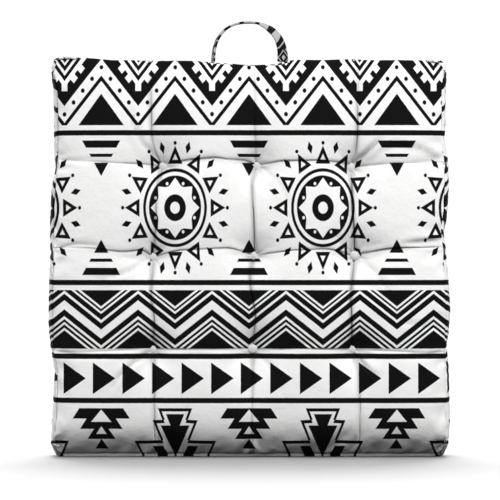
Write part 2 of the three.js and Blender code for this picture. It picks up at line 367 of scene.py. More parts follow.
def sun(side, down):
    """A rayed disc: an eye in a star, a ring, twelve pierced triangles with dots, and twelve diamonds."""
    rise = abs(down - SUN_DOWN) / STRETCH
    r = distance(side, rise)
    angle = rise.math("ARCTAN2", side)
    eighth = angle.folded(math.pi / 8)
    star = (eighth * 4).sine().times_plus(-9.4, 39.6)
    star_dot = distance(r * (math.pi / 8 - eighth).cosine() - 34.4, r * (math.pi / 8 - eighth).sine())
    disc = under(r, 42.7) & ~(under(r, star) | under(star_dot, 2.1))
    eye = between(r, 7.8, 17.7)
    ring = between(r, 47.6, 52.1)
    turn = math.pi / 12
    ray_angle = angle.folded(turn)
    out = r * ray_angle.cosine()
    across = r * ray_angle.sine()
    ray = over(out, 58.1) & under(across, (82.2 - out) * (12.1 / 24.1))
    hole = over(out, 63.4) & under(across, (71.2 - out) * (4.4 / 7.8))
    tip = under(distance(out - 85.6, across), 2.6)
    gem_angle = turn - ray_angle
    gem_out = r * gem_angle.cosine()
    gem_across = r * gem_angle.sine()
    gem = under(abs(gem_out - 82.0) * (4.6 / 9.1) + gem_across, 4.4)
    return disc | eye | ring | (ray & ~hole) | tip | gem


def hourglass(side, down):
    """Two stacks of bars that narrow to a point towards the middle line between two discs."""
    rise = abs(down - SUN_DOWN)
    bars = [between(rise, low, high) for low, high in ((51.6, 73.8), (83.1, 88.5), (98.2, 110.1))]
    return under(side, (rise - 51.6) / 1.87) & any_of(bars)


def zigzag_band(a, down):
    """Nested zigzags of eight widths, cut level above and below."""
    slant = down + a * 0.794
    upper = ((370, 406.7), (410.9, 415.1), (419.0, 429.0), (433.9, 444.7))
    lower = ((459.5, 470.6), (475.5, 480.4), (484.3, 489.6), (493.8, 540))
    black = any_of([between(slant, low, high) for low, high in (*upper, *lower)])
    return black & between(down, 380.1, 476.0)


def arrow_band(x, down):
    """A row of triangles that point to the right."""
    pitch, length, half_height = REPEAT * 0.4, 36.8, 26.0
    along = (x + 13.6).math("FLOORED_MODULO", pitch)
    return under(abs(down - 524.4), (length - along) * (half_height / length))


def pagoda(side, down):
    """Four stacked tiers, each flaring downwards, with two white triangles inside."""
    top, tier = 573.2, 17.1
    level = ((down - top) / tier).math("FLOOR")
    width = 36.0 - level * 11.9 + (down - top - level * tier) * 0.64
    body = under(side, width) & between(down, top, top + 4 * tier)
    upper = over(down, 575.5) & under(down, 595.6) & under(side, (down - 575.5) * (16.5 / 20.1))
    lower = over(down, 603.1) & under(down, 615.9) & under(side, (down - 603.1) * (8.5 / 12.8))
    return body & ~(upper | lower)


def urn_half_width(down):
    """Half the width of the stepped urn: three tiers, each wider at its top than at its foot."""
    tiers = ((573.3, 28.1, 0.378), (592.6, 37.1, 0.396), (627.2, 67.3, 0.442))
    widths = [(start - down) * slope + width for start, width, slope in tiers]
    second, third = over(down, tiers[1][0]), over(down, tiers[2][0])
    upper = widths[0] * (1.0 - second) + widths[1] * second
    return upper * (1.0 - third) + widths[2] * third


def urn(side, down):
    """A stepped outline with a solid core."""
    line_across, line_down = 4.3, 5.4
    inside = under(side, urn_half_width(down))
    within = under(side + line_across, urn_half_width(down)) & over(down, 573.2 + line_down)
    within = within & under(side + line_across, urn_half_width(down - line_down))
    outline = inside & ~within & between(down, 573.2, 700)
    core_top = under(side, (582.8 - down) * 0.394 + 15.1) & between(down, 582.8, 602.8)
    core_foot = under(side, (601.6 - down) * 0.431 + 23.7) & between(down, 601.6, 660)
    blocks = between(side + (down - 636.5) * 0.5, 20.3, 37.6) & over(down, 636.5)
    return outline | core_top | core_foot | blocks


def printed(x, z):
    """The ink on the cloth at x and z: 0 on bare cloth, 1 where it is black."""
    x = x - PRINT_SHIFT
    down = (FOLD - z).folded(PRINT_HEIGHT)
    a = x.folded(REPEAT / 2)
    b = REPEAT / 2 - a
    pair = x.folded(REPEAT)
    other = REPEAT - pair
    suns = (sun(other, down) | hourglass(pair, down)) & between(down, 130, 360)
    return any_of(
        [
            chevron_band(a, b, down) & under(down, 112),
            line_rows(down),
            suns,
            zigzag_band(a, down),
            arrow_band(x, down),
            pagoda(pair, down),
            urn(other, down),
        ]
    )


def strap_print(along, across):
    """Ink on the strap: two straight bars each way from the crest, two slanted ones, and a nested diamond."""
    far = abs(along)
    straight = between(far, 9.5, 17.0) | between(far, 33.0, 46.0)
    slanted = abs(along + across * 0.45)
    bars = between(slanted, 61.5, 71.5) | between(slanted, 74.2, 85.0)
    gem = abs(far - 96.0) + abs(across) * 0.95
    rings = between(gem, 5.0, 11.5) | between(gem, 13.8, 19.0)
    foot = between(far, 106.0, 118.0)
    return straight | (bars & over(gem, 13.8)) | rings | foot


# ---- materials -------------------------------------------------------------------------------------------
def woven(finish, where, x, z, pitch):
    """Height of a plain weave: threads over and under, with a little unevenness."""
    turn = math.pi / pitch
    warp = (x * turn).sine()
    weft = (z * turn).sine()
    slub = finish.noise(where, 0.9, detail=1.0)
    return warp * weft * 0.5 + slub


def cloth_finish(name, colours, ink_at, crumple=0.0, paleness=1.0):
    """Printed canvas. ink_at turns the waves of the UV map "cloth" into ink, crumple is the depth of its fine
    folds in metres, and paleness scales the bare cloth."""
    finish = Finish(name, Specular_IOR_Level=0.06, Sheen_Weight=0.0)
    where, x, z, _ = finish.place("cloth")
    fuzz = finish.noise(where, 0.7, detail=2.0)
    wobble = finish.noise(where, 0.12, detail=1.0)
    drift = (wobble - 0.5) * 0.5 + (fuzz - 0.5) * 0.35
    ink = ink_at(x + drift, z + drift)
    mottle = finish.noise(where, 0.02, detail=3.0)
    slubs = finish.noise(finish.stretched(where, x=0.9, y=0.05), 1.0, detail=2.0)
    tone = (mottle - 0.5) * 0.06 + (slubs - 0.5) * 0.06 + (fuzz - 0.5) * 0.08
    # painted shade: a number at each point darkens the bare cloth in the creases, round the buttons and along
    # the foot
    shade = finish.amount("painted_cloth_shade")
    light = ((tone + 0.985) * (1.0 - shade**1.5 * 0.85) & 1.0) * paleness
    bright = finish.scaled(tuple(colours.cloth), light)
    worn = fuzz.times_plus(0.014, -0.006, clamp=True)
    dark = finish.mix(worn, tuple(colours.ink), tuple(colours.cloth))
    finish.feed(Base_Color=finish.mix(ink, bright, dark))
    finish.feed(Roughness=(ink * -0.1 + (fuzz - 0.5) * 0.1 + 0.9))
    weave = woven(finish, where, x, z, 0.62)
    fine = finish.bump(weave, 0.00009, 0.8)
    if crumple:
        folds = finish.noise(where, 0.045, detail=3.0, roughness=0.6)
        fine = finish.bump(folds, crumple, 1.0, normal=fine)
    finish.feed(Normal=fine)
    return finish.material


def fill_finish(colours):
    """Loose polyester fibre, matted in small tufts."""
    finish = Finish("polyester fill", Sheen_Weight=0.3)
    where, *_ = finish.place()
    tufts = finish.noise(where, 0.06, detail=6.0, roughness=0.7)
    strands = finish.noise(finish.stretched(where, x=0.4, y=1.0, z=2.5), 0.4, detail=4.0)
    shade = (tufts - 0.5) * 0.2 + (strands - 0.5) * 0.1 + 0.95
    colour = finish.scaled(tuple(colours.fill), shade)
    finish.feed(Base_Color=colour, Roughness=strands * 0.1 + 0.85, Normal=finish.bump(tufts + strands, 0.002))
    return finish.material


def thread_finish(name, colour, pitch):
    """Plied thread: a fine slanted twist over a plain colour."""
    finish = Finish(name, Specular_IOR_Level=0.35)
    where, x, y, z = finish.place()
    plies = ((x + y + z * 0.7) * (2 * math.pi / pitch)).sine() * 0.5 + 0.5
    fuzz = finish.noise(where, 1.5, detail=3.0)
    shade = plies * 0.25 + fuzz * 0.2 + 0.65
    dyed = finish.scaled(tuple(colour), shade)
    finish.feed(Base_Color=dyed, Roughness=fuzz * 0.2 + 0.6, Normal=finish.bump(plies, 0.00015))
    return finish.material


def floor_finish(colours):
    """Matt paint with a faint grain."""
    finish = Finish("studio floor")
    where, *_ = finish.place()
    grain = finish.noise(where, 0.01, detail=3.0)
    shade = grain * 0.01 + 0.995
    paint = finish.scaled(tuple(colours.floor), shade)
    finish.feed(Base_Color=paint, Roughness=grain * 0.05 + 0.9)
    return finish.material


# ---- the cover's cloth -----------------------------------------------------------------------------------
# Each valley between two puffs runs through its tufts but wanders: a drift is a list of places along the
# valley and how far to one side it lies there, in millimetres. A depth is how sharp its crease is on each of
# its four stretches, from the left or from the foot.
LEVEL_EDGE = ((-330, 0), (330, 0))
LEFT_EDGE = (
    (23, 1), (63, 4), (90, 6), (142, 6), (182, 1), (222, -2), (282, -1), (401, 1), (441, 3), (470, 7),
    (560, 7), (600, 6), (640, 1),
)
RIGHT_EDGE = (
    (23, -1), (63, 1), (142, -1), (182, -2), (235, 2), (282, -1), (322, -4), (361, -7), (390, -3),
    (441, -1), (481, -2), (520, -6), (600, -6), (640, -4),
)
TOP_EDGE = (
    (-330, 3), (-300, 6), (-275, 5), (-230, 1), (-150, 0), (-93, 0), (-50, -4), (0, -7), (40, -6), (67, 1),
    (120, 1), (166, 2.5), (200, 1), (290, 0.5), (330, -1.5),
)
FRONT_COLUMN_DRIFTS = (
    LEFT_EDGE,
    (
        (10, 6), (116, 5), (178, 3), (227, 5), (263, 0), (330, 3), (366, 6), (440, 9), (479, 19), (499, 7),
        (525, 1), (652, -2),
    ),
    (
        (10, 4), (110, 4), (178, 5), (232, 9), (273, 2), (299, 1), (330, 8), (368, 7), (451, 4), (479, 12),
        (494, 10), (652, 5),
    ),
    ((10, 20), (153, 18), (178, 7), (260, 4), (330, 12), (407, 7), (479, 5), (500, 12), (536, 15), (652, 14)),
    RIGHT_EDGE,
)
FRONT_ROW_DRIFTS = (
    LEVEL_EDGE,
    ((-330, -2), (-161, 1), (-80, 2), (0, 2), (80, 2), (161, 1), (330, -4)),
    (
        (-330, 17), (-264, 15), (-207, 10), (-178, 13), (-161, 2), (-120, 12), (-40, 16), (0, 4), (60, 12),
        (120, 14), (161, 4), (222, 16), (330, 18),
    ),
    (
        (-330, 10), (-161, 0), (-120, 8), (-70, 12), (-20, 8), (0, 0), (40, 7), (100, 8), (150, 4),
        (161, -2), (240, 4), (330, 6),
    ),
    TOP_EDGE,
)
FRONT_COLUMN_DEPTHS = ((2.2, 2.6, 2.4, 2.4), (1.6, 2.8, 3.0, 1.4), (2.0, 3.4, 3.8, 2.4))
FRONT_ROW_DEPTHS = ((0.8, 1.8, 1.8, 1.2), (2.6, 1.6, 1.6, 2.4), (0.8, 2.6, 2.2, 1.2))
BACK_COLUMN_DRIFTS = (
    LEFT_EDGE,
    ((0, -6), (178, 4), (250, -3), (330, 2), (400, 7), (479, -3), (652, 3)),
    ((0, 3), (178, -4), (260, 5), (330, -2), (410, 3), (479, 5), (652, -4)),
    ((0, 8), (178, 2), (240, 6), (330, 5), (420, -4), (479, 1), (652, 4)),
    RIGHT_EDGE,
)
BACK_ROW_DRIFTS = (
    LEVEL_EDGE,
    ((-330, 5), (-161, 3), (-80, 10), (0, -2), (90, 8), (161, 1), (330, 9)),
    ((-330, 12), (-161, 0), (-90, 12), (0, 3), (70, 11), (161, -3), (330, 6)),
    ((-330, -4), (-161, -2), (-70, 9), (0, 4), (80, 13), (161, 2), (330, 12)),
    TOP_EDGE,
)
BACK_COLUMN_DEPTHS = ((1.6, 2.4, 1.8, 1.0), (0.9, 1.8, 2.2, 1.2), (1.4, 2.0, 2.8, 1.6))
BACK_ROW_DEPTHS = ((0.9, 1.4, 2.0, 1.2), (1.8, 1.2, 1.6, 2.2), (1.0, 1.8, 1.2, 1.4))
DEEPEST_CREASE = 4.0  # in millimetres, and what a crease weight of 1 stands for
PRINT_ROLL = 0.025  # how far past the front seams the print is drawn out along the boxing


def puff_share(p, q, u, v):
    """How far the cloth stands out, as a share of the crown. p and q count puffs, and u and v are the same
    places from -1 to 1."""
    lobe = np.sqrt(np.abs(np.sin(p * math.pi) * np.sin(q * math.pi)))
    edge = (1 - np.abs(u) ** 5) * (1 - np.abs(v) ** 5)
    return edge * (0.5 + 0.5 * lobe)


def graded(steps, closeness=0.6):
    """Places from 0 to 1 that crowd towards both ends, where the cloth bends most."""
    s = np.linspace(0, 1, steps + 1)
    return s - closeness * np.sin(2 * math.pi * s) / (2 * math.pi)


def wandering(count, along, lines, drifts):
    """Places across a face for counts of puffs, where its edges and valleys wander by their drifts."""
    bent = []
    for line, drift in zip(lines, drifts):
        spots, shifts = np.array(drift).T * MM
        bent.append(line + np.interp(along, spots, shifts))
    bent = np.stack(bent)
    low = np.clip(count.astype(int), 0, PUFFS - 1)
    first = np.take_along_axis(bent, low[None], 0)[0]
    second = np.take_along_axis(bent, low[None] + 1, 0)[0]
    return first + (count - low) * (second - first)


class Cloth:
    """The cover as one closed grid of cells that follow the valleys, with the flat place of each corner."""

    def __init__(self, settings):
        self.settings = settings
        self.per_puff = settings.cells // PUFFS
        self.cells = self.per_puff * PUFFS
        self.deep_cells = 16
        self.half_width = WIDTH / 2 - settings.side_inset
        self.low, self.high = settings.foot_inset, HEIGHT - settings.top_inset
        self.front = self.face(-1, FRONT_COLUMN_DRIFTS, FRONT_ROW_DRIFTS)
        self.back = self.face(1, BACK_COLUMN_DRIFTS, BACK_ROW_DRIFTS)
        self.depths = graded(self.deep_cells, 0.5)
        self.points = []
        self.faces = []
        self.flat = []  # for each face, the flat place of each corner
        self.part = []  # for each face, the piece that it belongs to
        self.index = {}
        self.build()

    def face(self, side, column_drifts, row_drifts):
        """The points of one face, before the boxing's swell: an array of columns by rows by x, y and z."""
        within = graded(self.per_puff)[:-1]
        count = np.append((np.arange(PUFFS)[:, None] + within).ravel(), PUFFS)
        p, q = np.meshgrid(count, count, indexing="ij")
        columns = [-self.half_width, *COLUMNS, self.half_width]
        rows = [self.low, *ROWS[::-1], self.high]
        straight_x = np.interp(p, range(PUFFS + 1), columns)
        straight_z = np.interp(q, range(PUFFS + 1), rows)
        x = wandering(p, straight_z, columns, column_drifts)
        middle, half_height = (self.low + self.high) / 2, (self.high - self.low) / 2
        z = wandering(q, straight_x, rows, row_drifts) - middle
        share = puff_share(p, q, np.interp(p, (0, PUFFS), (-1, 1)), np.interp(q, (0, PUFFS), (-1, 1)))
        radius = self.settings.corner_radius
        over_x = np.abs(x) - (self.half_width - radius)
        over_z = np.abs(z) - (half_height - radius)
        corner = (over_x > 0) & (over_z > 0)
        pull = np.maximum(over_x, over_z) / np.maximum(np.hypot(over_x, over_z), 1e-9)
        x = np.where(corner, np.sign(x) * (self.half_width - radius + over_x * pull), x)
        z = np.where(corner, np.sign(z) * (half_height - radius + over_z * pull), z) + middle
        low = np.clip(1 - z / self.settings.roll_height, 0, 1)
        roll = self.settings.roll * self.settings.roll_height * (1 - np.sqrt(1 - low**2))
        y = side * (SEAM_DEPTH + self.settings.start_share * self.settings.crown * share - roll)
        return np.stack([x, y, z], axis=-1)

    def corner(self, i, j, k):
        """The index of a grid point: i across, j up and k deep, on the outside of the block."""
        key = (i, j, k)
        if key not in self.index:
            self.index[key] = len(self.points)
            self.points.append(self.start(i, j, k))
        return self.index[key]

    def start(self, i, j, k):
        """Where a grid point starts: on a softly puffed box, smaller than the stuffed cushion."""
        share = self.depths[k]
        x, y, z = self.front[i, j] * (1 - share) + self.back[i, j] * share
        if k not in (0, self.deep_cells):
            swell = 1 - abs(2 * share - 1) ** 4
            if i in (0, self.cells):
                x *= 1 + 0.4 * swell * self.settings.side_inset / self.half_width
            if j == 0:
                z -= 0.95 * swell * self.low
            if j == self.cells:
                z += 0.4 * swell * self.settings.top_inset
        return Vector((x, y, z))

    def quad(self, part, corners, flat):
        """Adds one face of a piece, with the flat place of each corner."""
        self.faces.append([self.corner(*c) for c in corners])
        self.flat.append(flat)
        self.part.append(part)

    def build(self):
        """Adds the faces of both panels, then of the boxing strips, whose print runs on from the front."""
        n, m = self.cells, self.deep_cells
        drawn_out = 0.7  # share of the depth that the print skips near the front seams
        deep = self.depths * 2 * SEAM_DEPTH
        deep = deep - drawn_out * np.minimum(deep, PRINT_ROLL)
        for i in range(n):
            for j in range(n):
                loop = [(i, j), (i + 1, j), (i + 1, j + 1), (i, j + 1)]
                back = loop[::-1]
                self.quad("front_panel", [(a, b, 0) for a, b in loop], [self.front[c][[0, 2]] for c in loop])
                self.quad("back_panel", [(a, b, m) for a, b in back], [self.back[c][[0, 2]] for c in back])
        right, top, foot = self.half_width, self.high, self.low
        across = lambda column, row: self.front[column, row, 0]
        up = lambda column, row: self.front[column, row, 2]
        for i in range(n):
            for k in range(m):
                loop = [(i, k), (i + 1, k), (i + 1, k + 1), (i, k + 1)]
                back = loop[::-1]
                strips = (
                    ("boxing_top", [((a, n, b), (across(a, n), top + deep[b])) for a, b in loop]),
                    ("boxing_bottom", [((a, 0, b), (across(a, 0), foot - deep[b])) for a, b in back]),
                    ("boxing_right", [((n, a, b), (right + deep[b], up(n, a))) for a, b in back]),
                    ("boxing_left", [((0, a, b), (-right - deep[b], up(0, a))) for a, b in loop]),
                )
                for part, corners in strips:
                    self.quad(part, [place for place, _ in corners], [flat for _, flat in corners])

    def tuft_points(self, side):
        """The grid points under the buttons of one side, row by row from the top left."""
        k = 0 if side < 0 else self.deep_cells
        return [self.index[column * self.per_puff, (PUFFS - row) * self.per_puff, k] for row, column in SPOTS]

    def crease_weights(self):
        """For each point that lies on a valley, how deep its crease is, from 0 to 1."""
        weights = {}
        front, back = (FRONT_COLUMN_DEPTHS, FRONT_ROW_DEPTHS), (BACK_COLUMN_DEPTHS, BACK_ROW_DEPTHS)
        tables = {0: front, self.deep_cells: back}
        stretches = [0, 0.15, 0.5, 1.5, 2.5, 3.5, 3.85, 4]
        for (i, j, k), point in self.index.items():
            if k not in tables:
                continue
            for line, along, table in ((i, j, tables[k][0]), (j, i, tables[k][1])):
                valley, off = divmod(line, self.per_puff)
                if off or not 0 < valley < PUFFS:
                    continue
                depths = table[valley - 1]
                levels = [0, depths[0] * 0.3, *depths, depths[-1] * 0.3, 0]
                depth = float(np.interp(along / self.per_puff, stretches, levels))
                weights[point] = max(weights.get(point, 0), depth / DEEPEST_CREASE)
        at_tufts = 0.9
        for side in (-1, 1):
            weights |= {point: at_tufts for point in self.tuft_points(side)}
        return weights

    def seam_points(self):
        """The grid points where the boxing meets a panel."""
        ends, faces = (0, self.cells), (0, self.deep_cells)
        return [point for (i, j, k), point in self.index.items() if k in faces and (i in ends or j in ends)]


PARTS = ("front_panel", "back_panel", "boxing_top", "boxing_right", "boxing_bottom", "boxing_left")


def only(*objects):
    """Selects these objects and nothing else, and makes the first active."""
    bpy.ops.object.select_all(action="DESELECT")
    for item in objects:
        item.select_set(True)
    bpy.context.view_layer.objects.active = objects[0]


def mesh_object(name, points, faces):
    """A new object in the scene, from its points and the corners of its faces."""
    mesh = bpy.data.meshes.new(name)
    mesh.from_pydata([tuple(p) for p in points], [], faces)
    item = bpy.data.objects.new(name, mesh)
    bpy.context.scene.collection.objects.link(item)
    return item


def apply_modifiers(item):
    """Applies all of an object's modifiers, in order."""
    only(item)
    for modifier in list(item.modifiers):
        bpy.ops.object.modifier_apply(modifier=modifier.name)


def places(item):
    """Where an object's points are, one to a row."""
    co = np.empty(len(item.data.vertices) * 3)
    item.data.vertices.foreach_get("co", co)
    return co.reshape(-1, 3)


def normals(item):
    """The outward direction at each of an object's points."""
    found = np.empty(len(item.data.vertices) * 3)
    item.data.vertices.foreach_get("normal", found)
    return found.reshape(-1, 3)


def set_places(item, co):
    """Moves an object's points to new places."""
    item.data.vertices.foreach_set("co", np.asarray(co).reshape(-1))
    item.data.update()


def weight_group(item, name, weights):
    """Adds a vertex group with the weight that each point is given."""
    group = item.vertex_groups.new(name=name)
    for point, weight in weights.items():
        group.add([point], weight, "REPLACE")


def group_weights(item, name):
    """A vertex group's weight at every point."""
    wanted = item.vertex_groups[name].index
    found = np.zeros(len(item.data.vertices))
    for vertex in item.data.vertices:
        for entry in vertex.groups:
            if entry.group == wanted:
                found[vertex.index] = entry.weight
    return found


def sink_tufts(co, cloth, reach):
    """Draws both faces in to the tufts' depth."""
    for side in (-1, 1):
        for point in cloth.tuft_points(side):
            x, _, z = co[point]
            away = np.hypot(co[:, 0] - x, co[:, 2] - z)
            face = side * co[:, 1] > SEAM_DEPTH * 0.8
            pull = np.clip(1 - away / reach, 0, 1) ** 2 * face
            co[:, 1] += (side * cloth.settings.tuft_depth - co[:, 1]) * pull
    return co


def stuff(item, cloth):
    """Lets the cloth settle under the pressure of its fill, held at the tufts and, softly, at the seams."""
    settings = cloth.settings
    start = places(item).copy()
    pins = {point: settings.seam_hold for point in cloth.seam_points()}
    pins |= {point: 1.0 for side in (-1, 1) for point in cloth.tuft_points(side)}
    weight_group(item, "held", pins)
    modifier = item.modifiers.new("Cloth", "CLOTH")
    sim = modifier.settings
    sim.quality = 7
    sim.mass = 0.25
    sim.tension_stiffness = 12
    sim.compression_stiffness = 12
    sim.shear_stiffness = 4
    sim.bending_stiffness = 0.3
    sim.use_pressure = True
    sim.uniform_pressure_force = settings.pressure
    sim.effector_weights.gravity = 0
    sim.vertex_group_mass = "held"
    sim.shrink_min = -settings.surplus
    modifier.point_cache.frame_start = 1
    modifier.point_cache.frame_end = settings.frames
    scene = bpy.context.scene
    for step in range(1, settings.frames + 1):
        scene.frame_set(step)
    only(item)
    bpy.ops.object.modifier_apply(modifier=modifier.name)
    scene.frame_set(1)
    moved = places(item) - start
    far = np.maximum(np.linalg.norm(moved, axis=1, keepdims=True), 1e-9)
    set_places(item, start + moved * (settings.swell_limit * np.tanh(far / settings.swell_limit) / far))


def rest_on_floor(item):
    """Lifts what lies under the floor onto it."""
    co = places(item)
    co[:, 2] = np.maximum(co[:, 2], 0.0)
    set_places(item, co)


def stuffed_cover(settings):
    """The whole cover as one closed mesh, settled, with a UV map of its flat cloth and the tufts' places."""
    cloth = Cloth(settings)
    item = mesh_object("cover_form", cloth.points, cloth.faces)
    set_places(item, sink_tufts(places(item), cloth, DIMPLE_REACH))
    item.data.polygons.foreach_set("material_index", [PARTS.index(p) for p in cloth.part])
    for _ in PARTS:
        item.data.materials.append(None)
    uv = item.data.uv_layers.new(name="cloth")
    uv.data.foreach_set("uv", np.array(cloth.flat).reshape(-1))
    stuff(item, cloth)
    weight_group(item, "creases", cloth.crease_weights())
    weight_group(item, "seams", {point: 1.0 for point in cloth.seam_points()})
    rest_on_floor(item)
    item["tufts"] = [list(places(item)[p]) for side in (-1, 1) for p in cloth.tuft_points(side)]
    return item


def tufts_of(item):
    """The places of the front's tufts and of the back's."""
    found = [Vector(place) for place in item["tufts"]]
    return found[: len(SPOTS)], found[len(SPOTS) :]


def press_creases(item):
    """Presses a sharp crease into every valley."""
    weight = group_weights(item, "creases")
    set_places(item, places(item) - normals(item) * (weight**1.3 * DEEPEST_CREASE * MM)[:, None])


def spread(item, values, turns):
    """The values after they have run out along the edges of the mesh a number of times."""
    ends = np.empty(len(item.data.edges) * 2, int)
    item.data.edges.foreach_get("vertices", ends)
    first, second = ends.reshape(-1, 2).T
    count = len(values)
    shares = np.bincount(first, minlength=count) + np.bincount(second, minlength=count) + 1
    for _ in range(turns):
        near = np.bincount(first, values[second], count) + np.bincount(second, values[first], count)
        values = (values + near) / shares
    return values


def soft_shade(item, shade):
    """Adds painted shade beside the creases, round the buttons and along the foot."""
    gain, painted_button_shade, painted_foot_shade, darkest = 3.5, 0.3, 0.65, 0.55
    button_reach, foot_height = 0.02, 0.009
    co = places(item)
    beside = gain * spread(item, shade, 18)
    for side, tufts in zip((-1, 1), tufts_of(item)):
        for tuft in tufts:
            away = np.hypot(co[:, 0] - tuft.x, co[:, 2] - tuft.z)
            beside += painted_button_shade * np.exp(-((away / button_reach) ** 2)) * (side * co[:, 1] > 0)
    # painted shade along the foot, darkest at the floor
    foot = painted_foot_shade * np.clip(1 - co[:, 2] / foot_height, 0, 1)
    return np.maximum.reduce([shade, np.clip(beside, 0, darkest), foot])


def paint_cloth_shade(item, shade):
    """Gives each point its painted shade, as an attribute that darkens the cloth's colour."""
    marks = item.data.attributes.new("painted_cloth_shade", "FLOAT", "POINT")
    marks.data.foreach_set("value", shade)


def straighten_print(item, share=0.97):
    """Moves the flat places of both faces towards a straight view of them, so that the print hardly bends."""
    layer = item.data.uv_layers["cloth"]
    flat = np.empty(len(item.data.loops) * 2)
    layer.data.foreach_get("uv", flat)
    flat = flat.reshape(-1, 2)
    corners = np.empty(len(item.data.loops), int)
    item.data.loops.foreach_get("vertex_index", corners)
    sizes_of, kinds = (np.empty(len(item.data.polygons), int) for _ in range(2))
    item.data.polygons.foreach_get("loop_total", sizes_of)
    item.data.polygons.foreach_get("material_index", kinds)
    on_face = np.repeat(np.isin(kinds, [PARTS.index("front_panel"), PARTS.index("back_panel")]), sizes_of)
    seen = places(item)[corners][:, [0, 2]]
    flat[on_face] += share * (seen[on_face] - flat[on_face])
    layer.data.foreach_set("uv", flat.reshape(-1))


def calm_boxing(item, side_bulge, top_bulge):
    """Draws the boxing towards an even bulge past its seams, nearly flat at the top, and its underside down
    onto the floor. The corners keep their shape."""
    side_calm, top_calm = 0.65, 0.85  # shares of the way to the even bulge
    sole_height = 0.2  # share of its height that the underside keeps
    side_reach, corner_reach, top_corner = 0.022, 0.02, 0.016
    co = places(item)
    swell = np.clip(1 - (np.abs(co[:, 1]) / SEAM_DEPTH) ** 4, 0, 1)
    inside = np.abs(co[:, 1]) < SEAM_DEPTH * 0.98
    for way, edge in ((-1, LEFT_EDGE), (1, RIGHT_EDGE)):
        spots, shifts = np.array(edge).T * MM
        seam = way * (WIDTH / 2 - sizes().side_inset) + np.interp(co[:, 2], spots, shifts)
        upright = (co[:, 2] > corner_reach) & (co[:, 2] < HEIGHT - corner_reach)
        past = inside & (way * co[:, 0] > WIDTH / 2 - side_reach) & upright
        co[past, 0] += side_calm * (seam + way * side_bulge * swell - co[:, 0])[past]
    spots, shifts = np.array(TOP_EDGE).T * MM
    seam = HEIGHT - sizes().top_inset + np.interp(co[:, 0], spots, shifts)
    past = inside & (co[:, 2] > seam - 0.003) & (np.abs(co[:, 0]) < WIDTH / 2 - top_corner)
    co[past, 2] += top_calm * (seam + top_bulge * swell - co[:, 2])[past]
    sole = (np.abs(co[:, 1]) < SEAM_DEPTH * 0.36) & (co[:, 2] < corner_reach)
    sole = sole & (np.abs(co[:, 0]) < WIDTH / 2 - side_reach)
    co[sole, 2] *= sole_height
    set_places(item, co)


def press_tabs(item, depth=10):
    """Presses the top boxing down where the handle's tabs are sewn to it, level under them and fading out."""
    margin, half_depth = 0.004, 0.016  # of the level part, past a tab's ends and from the middle
    co = places(item)
    out = (HALF_SPAN - margin - np.abs(co[:, 0])).clip(0) + (np.abs(co[:, 0]) - TAB_END - margin).clip(0)
    deep = (np.abs(co[:, 1]) - half_depth).clip(0)
    share = np.exp(-((out / 0.010) ** 2) - (deep / 0.012) ** 2) * (co[:, 2] > HEIGHT - 0.03)
    co[:, 2] -= share * depth * MM
    set_places(item, co)


def draw_seams(item):
    """Draws the seams in, with small puckers beside them where the cloth is gathered."""
    groove, gathers, kept_at_top = 2.4, 0.32, 0.25  # depths in millimetres, and their share along the top
    side_inset, end_inset, reach = 0.006, 0.004, 0.009  # where the puckers start, and how far they go
    weight = group_weights(item, "seams")
    co, out = places(item), normals(item)
    run = np.where(np.abs(out[:, 0]) > np.abs(out[:, 2]), co[:, 2], co[:, 0]) / MM
    ripple = np.sin(run / 2.9 + 1.3 * np.sin(run / 23)) + 0.6 * np.sin(run / 1.9 + 2 * np.sin(run / 31))
    near = np.minimum(WIDTH / 2 - side_inset - np.abs(co[:, 0]), HEIGHT - end_inset - co[:, 2])
    gather = np.exp(-np.clip(near, 0, 1) / reach) * (co[:, 2] > end_inset)
    at_top = np.clip((co[:, 2] - HEIGHT) / 0.02 + 1, 0, 1)
    shift = (gathers * ripple * gather - groove * weight**1.5) * (1 - (1 - kept_at_top) * at_top)
    set_places(item, co + out * (shift * MM)[:, None])


def pleat_tufts(item, depth=1.1, reach=DIMPLE_REACH):
    """Small folds that run out from each button."""
    co, out = places(item), normals(item)
    for side, tufts in zip((-1, 1), tufts_of(item)):
        for number, tuft in enumerate(tufts):
            x, z = co[:, 0] - tuft.x, co[:, 2] - tuft.z
            away = np.hypot(x, z)
            angle = np.arctan2(z, x)
            folds = np.sin(angle * (7 + number % 3) + number * 1.7) + 0.5 * np.sin(angle * 11 + number * 2.9)
            fade = np.clip(away / 0.008, 0, 1) * np.clip(1 - away / reach, 0, 1) ** 1.5
            fade = fade * (side * out[:, 1] > 0.2)
            co += out * (folds * fade * depth * MM)[:, None]
    set_places(item, co)


def crease(co, out, route, depth, width, side):
    """Presses a loose fold into one face along a route of x and z points, and returns its painted
    shade at each point. Its route, depth and width are in millimetres."""
    route = np.array(route, float) * MM
    runs = np.diff(route, axis=0)
    lengths = np.linalg.norm(runs, axis=1)
    flat = co[:, [0, 2]]
    best = np.full(len(co), 1e9)
    place = np.zeros(len(co))
    for start, run, length, gone in zip(route, runs, lengths, np.cumsum([0, *lengths])):
        t = np.clip((flat - start) @ run / length**2, 0, 1)
        away = np.linalg.norm(flat - start - t[:, None] * run, axis=1)
        nearer = away < best
        best[nearer] = away[nearer]
        place[nearer] = (gone + t[nearer] * length) / lengths.sum()
    wide = width * MM
    profile = np.exp(-((best / wide) ** 2)) - 0.35 * np.exp(-(((best - 2.4 * wide) / (1.3 * wide)) ** 2))
    fade = np.sin(np.clip(place, 0, 1) * math.pi) ** 0.6
    shown = fade * (side * out[:, 1] > 0.3)
    co += out * (-depth * MM * profile * shown)[:, None]
    return np.exp(-((best / (0.5 * wide)) ** 2)) * shown * depth / DEEPEST_CREASE


